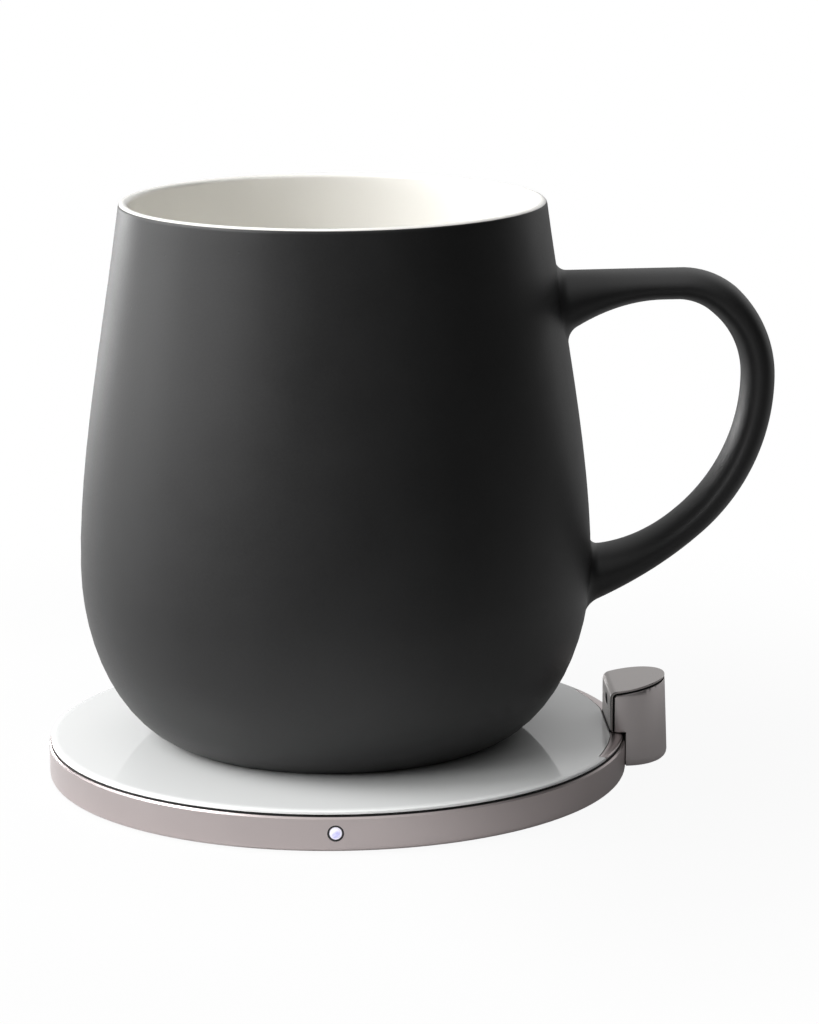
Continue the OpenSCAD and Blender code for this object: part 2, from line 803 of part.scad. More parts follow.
module handle_sweep() {
    path = handle_path();
    rings = len(path);
    n = section_sides;
    polyhedron(
        points = [for (p = path) each handle_ring(p)],
        faces = concat(
            [[for (k = [0 : n - 1]) k]],
            [for (j = [0 : rings - 2], k = [0 : n - 1])
                let (a = j * n + k, b = j * n + (k + 1) % n)
                each [[a, a + n, b], [b, a + n, b + n]]],
            [[for (k = [n - 1 : -1 : 0]) (rings - 1) * n + k]]));
}

module mug_handle() {
    color(charcoal) translate([0, 0, mug_z]) difference() {
        handle_sweep();
        rotate_extrude()
            polygon(concat([[0, 0]], mug_outline(), [[0, mug_h - lip_t / 2]]));
    }
}

module base_cover() {
    color(plastic) translate([0, 0, mug_z + cover_z]) cylinder(r = cover_r, h = base_cover_t);
}

module cover_seal() {
    color("gray") translate([0, 0, mug_z + seal_z]) difference() {
        cylinder(r = cover_r, h = seal_t);
        translate([0, 0, -over]) cylinder(r = pocket_r + fit_gap, h = seal_t + 2 * over);
    }
}

module receiver_coil() {
    color(copper) translate([0, 0, mug_z + seal_z])
        winding(receiver_r, receiver_turns, receiver_wire_w, receiver_wire_h);
}

module receiver_shield() {
    color("dimgray") translate([0, 0, mug_z + receiver_shield_z])
        cylinder(r = receiver_r, h = shield_t);
}

module receiver_board() {
    color(board_green) translate([0, 0, mug_z + receiver_board_z])
        cylinder(r = receiver_r, h = receiver_board_t);
}

module receiver_chips() {
    color("black") for (p = receiver_parts)
        translate([p[0], p[1], mug_z + receiver_top]) cube([p[2], p[3], receiver_chip_h]);
}

// Springy ring that presses the heater up against the ceramic
module foam_ring() {
    color("lightgray") translate([0, 0, mug_z + receiver_top]) difference() {
        cylinder(r = receiver_r, h = mica_z - receiver_top);
        translate([0, 0, -over]) cylinder(r = foam_inner, h = mug_h);
    }
}

module mica_disc() {
    color("wheat") translate([0, 0, mug_z + mica_z]) cylinder(r = receiver_r, h = mica_t);
}

// Printed track: rings joined by short bridges, each ring open at one side
module heater_film() {
    pitch = track_w + track_gap;
    rings = floor((receiver_r - 2 * pitch) / pitch);
    color("silver") translate([0, 0, mug_z + heater_z]) linear_extrude(heater_t)
        for (i = [0 : rings - 1]) {
            r = receiver_r - i * pitch;
            difference() {
                circle(r);
                circle(r - track_w);
                rotate([0, 0, i % 2 == 0 ? 0 : 180])
                    translate([0, -track_gap / 2]) square([r + over, track_gap]);
            }
            if (i < rings - 1)
                rotate([0, 0, i % 2 == 0 ? 180 : 0])
                    translate([r - pitch - track_w / 2, -track_w - track_gap / 2])
                    square([pitch, track_w]);
        }
}

module thermal_pad() {
    color("lightsteelblue") translate([0, 0, mug_z + thermal_z]) difference() {
        cylinder(r = receiver_r, h = thermal_t);
        translate([0, 0, -over]) cylinder(r = bead_r + fit_gap, h = thermal_t + 2 * over);
    }
}

module mug_sensor() {
    color("black") translate([0, 0, mug_z + heater_z])
        cylinder(r = bead_r, h = thermal_t + heater_t);
}

foot_pad();
base_plate();
base_screws();
rim_ring();
glass_gasket();
glass_top();
main_board();
power_chips();
capacitors();
coil_tray();
shield_disc();
transmit_coil();
coil_leads();
coil_sensor();
led_lens();
led_collar();
led_chip();
inlet_shell();
inlet_tongue();
post_bracket();
post_shell();
post_cover();
post_screws();
sensor_window();
sensor_board();
sensor_chip();
sensor_flex();
mug_body();
mug_handle();
base_cover();
cover_seal();
receiver_coil();
receiver_shield();
receiver_board();
receiver_chips();
foam_ring();
mica_disc();
heater_film();
thermal_pad();
mug_sensor();
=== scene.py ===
"""Looks of a self-heating mug on its warming pad.

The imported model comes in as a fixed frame. The script gives each of its parts a finish,
models the pieces that want a finer mesh than the frame has, and sets up the studio and the
camera. Lengths are metres, in the frame's own coordinates: the origin is the
middle of the pad's underside, +X runs through the post and the handle, and the indicator
light is near -Y.
"""

import json
import logging
import math
from dataclasses import dataclass, field
from enum import Enum
from typing import Any, Optional, Union

import bpy
from mathutils import Matrix, Vector

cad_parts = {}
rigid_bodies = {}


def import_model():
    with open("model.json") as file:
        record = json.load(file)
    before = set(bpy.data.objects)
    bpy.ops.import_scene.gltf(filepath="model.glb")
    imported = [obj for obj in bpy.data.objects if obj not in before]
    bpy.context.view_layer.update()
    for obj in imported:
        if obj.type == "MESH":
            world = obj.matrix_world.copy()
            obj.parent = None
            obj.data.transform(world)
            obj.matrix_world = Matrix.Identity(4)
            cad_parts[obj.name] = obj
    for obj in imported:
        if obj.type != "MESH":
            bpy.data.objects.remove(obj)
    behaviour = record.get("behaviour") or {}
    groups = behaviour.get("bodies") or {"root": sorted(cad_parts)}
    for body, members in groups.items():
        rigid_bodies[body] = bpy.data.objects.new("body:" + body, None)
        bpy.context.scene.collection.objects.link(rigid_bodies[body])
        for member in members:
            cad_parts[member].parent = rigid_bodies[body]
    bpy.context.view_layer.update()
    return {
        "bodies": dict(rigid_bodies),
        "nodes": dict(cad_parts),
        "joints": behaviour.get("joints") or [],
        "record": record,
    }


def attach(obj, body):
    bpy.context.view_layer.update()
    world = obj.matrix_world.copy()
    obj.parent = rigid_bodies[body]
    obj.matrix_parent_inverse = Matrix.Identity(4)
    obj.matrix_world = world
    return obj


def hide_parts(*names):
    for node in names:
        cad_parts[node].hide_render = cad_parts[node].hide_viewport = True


LOG = logging.getLogger("scene")
MM = 0.001
WELD_DISTANCE = 0.004 * MM
FLAT_ANGLE = math.radians(0.4)
SMOOTH_ANGLE = math.radians(50.0)
AREA_WEIGHT = 100

Colour = tuple[float, float, float]
Point = tuple[float, float, float]
Operand = Union["Value", float]
Piece = bpy.types.Object
Material = bpy.types.Material
Socket = bpy.types.NodeSocket


class Body(Enum):
    """The two bodies of the frame."""

    PAD = "pad"
    MUG = "mug"


def scaled(colour: Colour, factor: float) -> Colour:
    """Makes a colour darker or lighter.

    Args:
        colour: The colour.
        factor: What each channel is multiplied by.

    Returns:
        The colour, with no channel above 1.
    """
    return tuple(min(1.0, channel * factor) for channel in colour)


def direction(azimuth: float, height: float) -> Point:
    """Turns two angles into a unit vector.

    Args:
        azimuth: The angle round the object from +X, in degrees.
        height: The angle above the floor, in degrees.

    Returns:
        The vector.
    """
    across, up = math.radians(azimuth), math.radians(height)
    return (math.cos(across) * math.cos(up), math.sin(across) * math.cos(up), math.sin(up))


class Value:
    """A shader socket that holds a number and can be used in Python expressions."""

    def __init__(self, graph: "Graph", socket: Socket) -> None:
        """Wraps a socket.

        Args:
            graph: The graph that the socket belongs to.
            socket: An output socket that holds a number.
        """
        self.graph = graph
        self.socket = socket

    def _math(self, operation: str, *operands: Operand) -> "Value":
        """Adds a Math node.

        Args:
            operation: The node's operation.
            operands: Its inputs, in order.

        Returns:
            The result.
        """
        node = self.graph.node("ShaderNodeMath", {"operation": operation}, *operands)
        return Value(self.graph, node.outputs[0])

    def __add__(self, other: Operand) -> "Value":
        """Returns the sum."""
        return self._math("ADD", self, other)

    def __radd__(self, other: float) -> "Value":
        """Returns the sum."""
        return self._math("ADD", other, self)

    def __sub__(self, other: Operand) -> "Value":
        """Returns the difference."""
        return self._math("SUBTRACT", self, other)

    def __rsub__(self, other: float) -> "Value":
        """Returns the difference."""
        return self._math("SUBTRACT", other, self)

    def __mul__(self, other: Operand) -> "Value":
        """Returns the product."""
        return self._math("MULTIPLY", self, other)

    def __truediv__(self, other: Operand) -> "Value":
        """Returns the quotient."""
        return self._math("DIVIDE", self, other)

    def __pow__(self, other: Operand) -> "Value":
        """Returns the power."""
        return self._math("POWER", self, other)

    def at_least(self, other: Operand) -> "Value":
        """Returns the larger of the two."""
        return self._math("MAXIMUM", self, other)

    def rise(self, low: float, high: float) -> "Value":
        """Returns a smooth step between two values.

        Args:
            low: The value at which the step is 0.
            high: The value at which the step is 1.

        Returns:
            A number from 0 to 1.
        """
        node = self.graph.node(
            "ShaderNodeMapRange",
            {"interpolation_type": "SMOOTHSTEP"},
            self, low, high, 0.0, 1.0,
        )
        return Value(self.graph, node.outputs["Result"])


class Graph:
    """The node tree of a material or of the world."""

    def __init__(self, owner: Union[Material, bpy.types.World]) -> None:
        """Empties the owner's node tree.

        Args:
            owner: What the tree belongs to.
        """
        owner.use_nodes = True
        self.owner = owner
        self.tree = owner.node_tree
        self.tree.nodes.clear()
        self._place: Optional[Socket] = None

    @classmethod
    def material(cls, name: str) -> "Graph":
        """Starts a new material.

        Args:
            name: The material's name.

        Returns:
            Its graph.
        """
        return cls(bpy.data.materials.new(name))

    def node(
        self, kind: str, settings: dict[str, Any], *inputs: Any, **named: Any
    ) -> bpy.types.Node:
        """Adds a node.

        Args:
            kind: The node's type.
            settings: Its properties, and the stops of a ramp under "stops".
            inputs: Values or links of its sockets, in order, with None for a socket left alone.
            named: Values or links of sockets by name, with _ for a space.

        Returns:
            The node.
        """
        node = self.tree.nodes.new(kind)
        for name, value in settings.items():
            if name == "stops":
                self._set_stops(node.color_ramp, value)
            else:
                setattr(node, name, value)
        for index, value in enumerate(inputs):
            if value is not None:
                self._feed(node.inputs[index], value)
        for name, value in named.items():
            self._feed(node.inputs[name.replace("_", " ")], value)
        return node

    @staticmethod
    def _set_stops(ramp: bpy.types.ColorRamp, stops: list[tuple[float, float]]) -> None:
        """Sets the stops of a grey ramp.

        Args:
            ramp: The ramp.
            stops: Rows of position and brightness, from 0 to 1.
        """
        while len(ramp.elements) > 1:
            ramp.elements.remove(ramp.elements[-1])
        for index, (position, grey) in enumerate(stops):
            stop = ramp.elements[0] if index == 0 else ramp.elements.new(position)
            stop.position = position
            stop.color = (grey, grey, grey, 1.0)

    def _feed(self, socket: Socket, value: Any) -> None:
        """Links a socket, or sets its value.

        Args:
            socket: The input socket.
            value: A Value, an output socket, a colour or a number.
        """
        if isinstance(value, Value):
            self.tree.links.new(value.socket, socket)
        elif isinstance(value, Socket):
            self.tree.links.new(value, socket)
        elif socket.type == "RGBA" and len(value) == 3:
            socket.default_value = (*value, 1.0)
        else:
            socket.default_value = value

    @property
    def place(self) -> Socket:
        """The point of the surface, in metres."""
        if self._place is None:
            self._place = self.node("ShaderNodeTexCoord", {}).outputs["Object"]
        return self._place

    def axes(self) -> tuple[Value, Value, Value]:
        """Returns the point's three coordinates, in metres."""
        parts = self.node("ShaderNodeSeparateXYZ", {}, self.place).outputs
        return Value(self, parts[0]), Value(self, parts[1]), Value(self, parts[2])

    def grain(self, size: float, detail: float) -> Value:
        """Adds soft noise.

        Args:
            size: The size of its spots, in metres.
            detail: The noise's detail.

        Returns:
            A number round 0.5.
        """
        noise = self.node("ShaderNodeTexNoise", {}, self.place, Scale=1.0 / size, Detail=detail)
        return Value(self, noise.outputs[0])

    def specks(self, spacing: float, radius: float) -> Value:
        """Adds small round spots.

        Args:
            spacing: The mean distance between two spots, in metres.
            radius: The radius of a spot, as a share of the spacing.

        Returns:
            1 in the middle of a spot and 0 between the spots.
        """
        cells = self.node(
            "ShaderNodeTexVoronoi", {}, self.place, Scale=1.0 / spacing, Randomness=1.0
        )
        return 1.0 - Value(self, cells.outputs["Distance"]).rise(0.0, radius)

    def mixed(self, share: Value, first: Any, second: Any) -> Socket:
        """Mixes two colours.

        Args:
            share: How much of the second colour.
            first: A colour or a colour socket.
            second: A colour or a colour socket.

        Returns:
            The mixed colour.
        """
        node = self.tree.nodes.new("ShaderNodeMix")
        node.data_type = "RGBA"
        self._feed(node.inputs["Factor"], share)
        self._feed(node.inputs[6], first)
        self._feed(node.inputs[7], second)
        return node.outputs[2]

    def bump(self, height: Value, depth: float) -> Socket:
        """Turns a height from 0 to 1 into a normal.

        Args:
            height: The height.
            depth: What 1 stands for, in metres.

        Returns:
            The normal.
        """
        node = self.node("ShaderNodeBump", {}, Strength=1.0, Distance=depth, Height=height)
        return node.outputs[0]

    def surface(self, **sockets: Any) -> None:
        """Adds the surface shader and the output.

        Args:
            sockets: Values or links of the shader's sockets by name, with _ for a space.
        """
        shader = self.node("ShaderNodeBsdfPrincipled", {}, **sockets)
        self.node("ShaderNodeOutputMaterial", {}, Surface=shader.outputs[0])

    def towards(self, place: Socket, aim: Point) -> Value:
        """Compares a unit vector with a direction.

        Args:
            place: The unit vector.
            aim: The direction.

        Returns:
            The cosine of the angle between them.
        """
        dot = self.node("ShaderNodeVectorMath", {"operation": "DOT_PRODUCT"}, place, aim)
        return Value(self, dot.outputs["Value"])

    def rays(self, *kinds: str) -> Value:
        """Tells the kinds of ray that see the surface.

        Args:
            kinds: Names such as "Camera" or "Glossy".

        Returns:
            1 for a ray of one of these kinds, 0 for any other.
        """
        path = self.node("ShaderNodeLightPath", {})
        found = Value(self, path.outputs[f"Is {kinds[0]} Ray"])
        for kind in kinds[1:]:
            found = found.at_least(Value(self, path.outputs[f"Is {kind} Ray"]))
        return found


@dataclass(frozen=True)
class SatinMetal:
    """Anodised metal, blasted fine, with slow changes of tone."""

    name: str
    colour: Colour
    roughness: float = 0.38
    grain_size: float = 0.12 * MM
    grain_depth: float = 0.004 * MM
    grain_roughness: float = 0.1
    cloud_size: float = 9 * MM
    cloud_share: float = 0.6
    cloud_roughness: float = 0.08
    tone_change: float = 0.06

    def build(self) -> Material:
        """Returns the material."""
        graph = Graph.material(self.name)
        cloud = graph.grain(self.cloud_size, detail=3.0)
        fine = graph.grain(self.grain_size, detail=4.0)
        tone = cloud * self.cloud_share + fine * (1.0 - self.cloud_share)
        dark = scaled(self.colour, 1.0 - self.tone_change)
        light = scaled(self.colour, 1.0 + self.tone_change)
        change = (cloud - 0.5) * self.cloud_roughness
        graph.surface(
            Base_Color=graph.mixed(tone, dark, light),
            Metallic=1.0,
            Roughness=self.roughness + change + (fine - 0.5) * self.grain_roughness,
            Normal=graph.bump(fine, self.grain_depth),
        )
        return graph.owner


@dataclass(frozen=True)
class PaintedGlass:
    """Glass that is painted at its back, glossy and quite clean, with a lighter colour near its
    edge as a painted highlight.
    """

    name: str = "pad_glass"
    paint: Colour = (0.80, 0.81, 0.805)
    # the lighter colour near the edge, a painted highlight
    edge: Colour = (0.92, 0.93, 0.92)
    edge_radius: float = 51.0 * MM
    edge_blend: float = 0.5 * MM
    cloud_size: float = 30 * MM
    paint_change: float = 0.015
    film_size: float = 4 * MM
    film_roughness: float = 0.04
    roughness: float = 0.03

    def build(self) -> Material:
        """Returns the material."""
        graph = Graph.material(self.name)
        x, y, _ = graph.axes()
        radius = (x * x + y * y) ** 0.5
        # Painted highlight: the colour turns lighter towards the edge.
        edge_highlight = radius.rise(self.edge_radius, self.edge_radius + self.edge_blend)
        cloud = graph.grain(self.cloud_size, detail=2.0)
        film = graph.grain(self.film_size, detail=5.0)
        paint = graph.mixed(cloud, self.paint, scaled(self.paint, 1.0 - self.paint_change))
        graph.surface(
            Base_Color=graph.mixed(edge_highlight, paint, self.edge),
            Roughness=self.roughness + film * self.film_roughness,
            IOR=1.52,
        )
        return graph.owner


@dataclass(frozen=True)
class MugGlaze:
    """The mug's glaze: matt charcoal outside, glossy warm white inside and over the lip."""

    name: str = "mug_glaze"
    dark: Colour = (0.015, 0.015, 0.0153)
    light: Colour = (0.955, 0.94, 0.895)
    dark_change: float = 0.6
    light_change: float = 0.015
    rough_outside: float = 0.49
    rough_inside: float = 0.18
    rough_change: float = 0.2
    cloud_size: float = 14 * MM
    grain_size: float = 0.45 * MM
    grain_height: float = 0.35
    pit_spacing: float = 3.2 * MM
    pit_radius: float = 0.07
    pit_patch: float = 7 * MM
    pit_range: tuple[float, float] = (0.5, 0.6)
    # how much darker the pits are: painted shade in these small hollows
    pit_tone: float = 0.5
    pit_height: float = 0.8
    relief: float = 0.03 * MM
    relief_lost_inside: float = 0.9
    lip_z: float = 103.22 * MM
    lip_blend: float = 0.07 * MM
    wall_blend: float = 0.05 * MM
    floor_z: float = 15.5 * MM
    floor_blend: float = 0.1 * MM
    widest: float = 50.0 * MM
    # Rows of height and radius, in millimetres, of a line in the middle of the mug's wall
    wall_line: tuple[tuple[float, float], ...] = (
        (14.0, 33.0), (18.0, 35.0), (21.0, 38.6), (26.0, 41.3), (32.0, 42.9), (40.0, 43.6),
        (52.0, 43.2), (64.0, 42.2), (76.0, 40.6), (88.0, 38.8), (96.0, 37.6), (101.5, 36.9),
        (103.6, 36.8),
    )

    def build(self) -> Material:
        """Returns the material."""
        graph = Graph.material(self.name)
        x, y, z = graph.axes()
        radius = (x * x + y * y) ** 0.5
        inside = self._inside(graph, radius, z)
        cloud = graph.grain(self.cloud_size, detail=3.0)
        grain = graph.grain(self.grain_size, detail=4.0)
        patches = graph.grain(self.pit_patch, detail=1.0).rise(*self.pit_range)
        pits = graph.specks(self.pit_spacing, self.pit_radius) * patches
        # The pits are made darker, painted shade in them.
        tone = (cloud + grain - pits * self.pit_tone) * 0.5
        darker = scaled(self.dark, 1.0 - self.dark_change)
        lighter = scaled(self.dark, 1.0 + self.dark_change)
        outer = graph.mixed(tone, darker, lighter)
        inner = graph.mixed(cloud, self.light, scaled(self.light, 1.0 - self.light_change))
        height = grain * self.grain_height - pits * self.pit_height
        rough = (1.0 - inside) * self.rough_outside + inside * self.rough_inside
        graph.surface(
            Base_Color=graph.mixed(inside, outer, inner),
            Roughness=rough + (tone - 0.5) * self.rough_change,
            IOR=1.5,
            Specular_IOR_Level=0.45,
            Normal=graph.bump(height * (1.0 - inside * self.relief_lost_inside), self.relief),
        )
        return graph.owner

    def _inside(self, graph: Graph, radius: Value, z: Value) -> Value:
        """Tells the white inside from the charcoal outside.

        Args:
            graph: The graph.
            radius: The distance from the mug's axis.
            z: The height.

        Returns:
            1 inside and over the lip, 0 outside.
        """
        top = self.wall_line[-1][0] * MM
        stops = [(height * MM / top, line * MM / self.widest) for height, line in self.wall_line]
        ramp = graph.node("ShaderNodeValToRGB", {"stops": stops}, z / top)
        limit = Value(graph, ramp.outputs[0]) * self.widest
        above_floor = z.rise(self.floor_z - self.floor_blend, self.floor_z + self.floor_blend)
        within = (limit - radius).rise(-self.wall_blend, self.wall_blend) * above_floor
        return within.at_least(z.rise(self.lip_z - self.lip_blend, self.lip_z + self.lip_blend))


@dataclass(frozen=True)
class Plastic:
    """Moulded plastic with a fine grain."""

    name: str
    colour: Colour
    roughness: float = 0.5
    grain_size: float = 0.25 * MM
    grain_depth: float = 0.01 * MM
    specular: float = 0.5
    cloud_size: float = 8 * MM
    cloud_share: float = 0.5
    cloud_roughness: float = 0.12
    tone_change: float = 0.1

    def build(self) -> Material:
        """Returns the material."""
        graph = Graph.material(self.name)
        cloud = graph.grain(self.cloud_size, detail=2.0)
        fine = graph.grain(self.grain_size, detail=3.0)
        tone = cloud * self.cloud_share + fine * (1.0 - self.cloud_share)
        dark = scaled(self.colour, 1.0 - self.tone_change)
        light = scaled(self.colour, 1.0 + self.tone_change)
        graph.surface(
            Base_Color=graph.mixed(tone, dark, light),
            Roughness=self.roughness + (cloud - 0.5) * self.cloud_roughness,
            Specular_IOR_Level=self.specular,
            Normal=graph.bump(fine, self.grain_depth),
        )
        return graph.owner


@dataclass(frozen=True)
class LitPipe:
    """Milky light pipe with the lamp behind it. Its glow is real; the glow painted whiter towards
    the upper left and round the edge, and bluer and darker elsewhere, is painted highlight and
    painted shade.
    """

    name: str = "light_pipe"
    # the glow's colour, also the painted highlight towards the upper left and round the edge
    glow: Colour = (0.93, 0.91, 1.0)
    # the bluer, darker colour of the painted shade in the glow
    shade: Colour = (0.40, 0.40, 0.78)
    centre: Point = (-1.99 * MM, -51.96 * MM, 3.55 * MM)
    radius: float = 1.04 * MM
    slant: tuple[float, float] = (0.6, 0.8)
    slant_range: tuple[float, float] = (-0.7, 0.0)
    edge_range: tuple[float, float] = (0.55, 0.95)
    mottle_size: float = 0.45 * MM
    mottle_range: tuple[float, float] = (0.3, 0.6)
    mottle_share: float = 0.5

    def build(self) -> Material:
        """Returns the material."""
        graph = Graph.material(self.name)
        x, _, z = graph.axes()
        across = (x - self.centre[0]) / self.radius
        up = (z - self.centre[2]) / self.radius
        ring = (across * across + up * up) ** 0.5
        slant = (across * self.slant[0] - up * self.slant[1]).rise(*self.slant_range)
        spots = graph.grain(self.mottle_size, detail=2.0).rise(*self.mottle_range)
        mottle = spots * self.mottle_share + (1.0 - self.mottle_share)
        # Painted highlight and shade: the glow is whiter to the upper left and round the edge,
        # bluer and darker elsewhere.
        shade = slant * (1.0 - ring.rise(*self.edge_range)) * mottle
        graph.surface(
            Base_Color=(0.35, 0.34, 0.42),
            Roughness=0.25,
            Coat_Weight=0.5,
            Coat_Roughness=0.05,
            Emission_Color=graph.mixed(shade, self.glow, self.shade),
            Emission_Strength=0.8,
        )
        return graph.owner


@dataclass
class Finishes:
    """All materials, by the record's slot."""

    made: dict[str, Material] = field(default_factory=dict)

    def build(self) -> None:
        """Makes the materials."""
        rows: list[Any] = [
            SatinMetal("rim_metal", (0.54, 0.48, 0.475), roughness=0.33),
            SatinMetal("post_metal", (0.66, 0.61, 0.605), roughness=0.33),
            SatinMetal("cover_metal", (0.46, 0.43, 0.42), roughness=0.3),
            SatinMetal("screw_steel", (0.55, 0.55, 0.56), roughness=0.3),
            SatinMetal("inlet_steel", (0.6, 0.6, 0.6), roughness=0.25),
            SatinMetal("heater_foil", (0.5, 0.5, 0.5), roughness=0.35),
            SatinMetal("coil_copper", (0.72, 0.34, 0.18), roughness=0.3),
            PaintedGlass(),
            MugGlaze("charcoal_ceramic"),
            LitPipe(),
            Plastic("foot_rubber", (0.02, 0.02, 0.02), 0.75),
            Plastic("base_plastic", (0.03, 0.03, 0.032), 0.55),
            Plastic("gasket_rubber", (0.008, 0.008, 0.008), 0.8),
            Plastic("circuit_board", (0.02, 0.12, 0.05), 0.3),
            Plastic("chip_black", (0.02, 0.02, 0.02), 0.45),
            Plastic("capacitor_body", (0.4, 0.27, 0.14), 0.4),
            Plastic("ferrite", (0.06, 0.06, 0.062), 0.6),
            Plastic("sensor_bead", (0.6, 0.6, 0.57), 0.35),
            Plastic("collar_black", (0.01, 0.01, 0.012), 0.25),
            Plastic("light_chip", (0.8, 0.75, 0.4), 0.35),
            Plastic("window_dark", (0.004, 0.004, 0.005), 0.6, specular=0.02),
            Plastic("flex_film", (0.5, 0.2, 0.03), 0.25),
            Plastic("seal_silicone", (0.3, 0.3, 0.31), 0.6),
            Plastic("mica", (0.5, 0.42, 0.27), 0.35),
            Plastic("gap_filler", (0.25, 0.35, 0.5), 0.7),
        ]
        for finish in rows:
            self.made[finish.name] = finish.build()

    def dress(self, frame: dict[str, Any]) -> None:
        """Gives each part of the frame the material of its slot.

        Args:
            frame: The frame.
        """
        for name, part in frame["nodes"].items():
            for slot in part.material_slots:
                slot_name = slot.material.name.split(".")[0]
                slot.material = self.made[slot_name]
            LOG.info("dressed %s", name)


@dataclass(frozen=True)
class Ring:
    """One ring of the handle: its middle, the way it faces, its thickness and its swelling."""

    x: float
    z: float
    turn: float
    thickness: float
    swell: float = 0.0

    def onward(self, distance: float, thickness: float, radius: float = math.inf) -> "Ring":
        """Returns the ring that lies further along a straight line or an arc.

        Args:
            distance: The distance between the two rings.
            thickness: The new ring's thickness.
            radius: The arc's radius.

        Returns:
            The new ring.
        """
        if math.isinf(radius):
            return Ring(
                self.x + distance * math.cos(self.turn), self.z - distance * math.sin(self.turn),
                self.turn, thickness,
            )
        turn = self.turn + distance / radius
        return Ring(
            self.x + radius * (math.sin(turn) - math.sin(self.turn)),
            self.z + radius * (math.cos(turn) - math.cos(self.turn)), turn, thickness,
        )

    def swollen(self, swell: float) -> "Ring":
        """Returns the ring with a swelling."""
        return Ring(self.x, self.z, self.turn, self.thickness, swell)


@dataclass(frozen=True)
class Bend:
    """An arc of the handle: where it turns to, its radius and the thickness at its end."""

    turn: float
    radius: float
    thickness: float


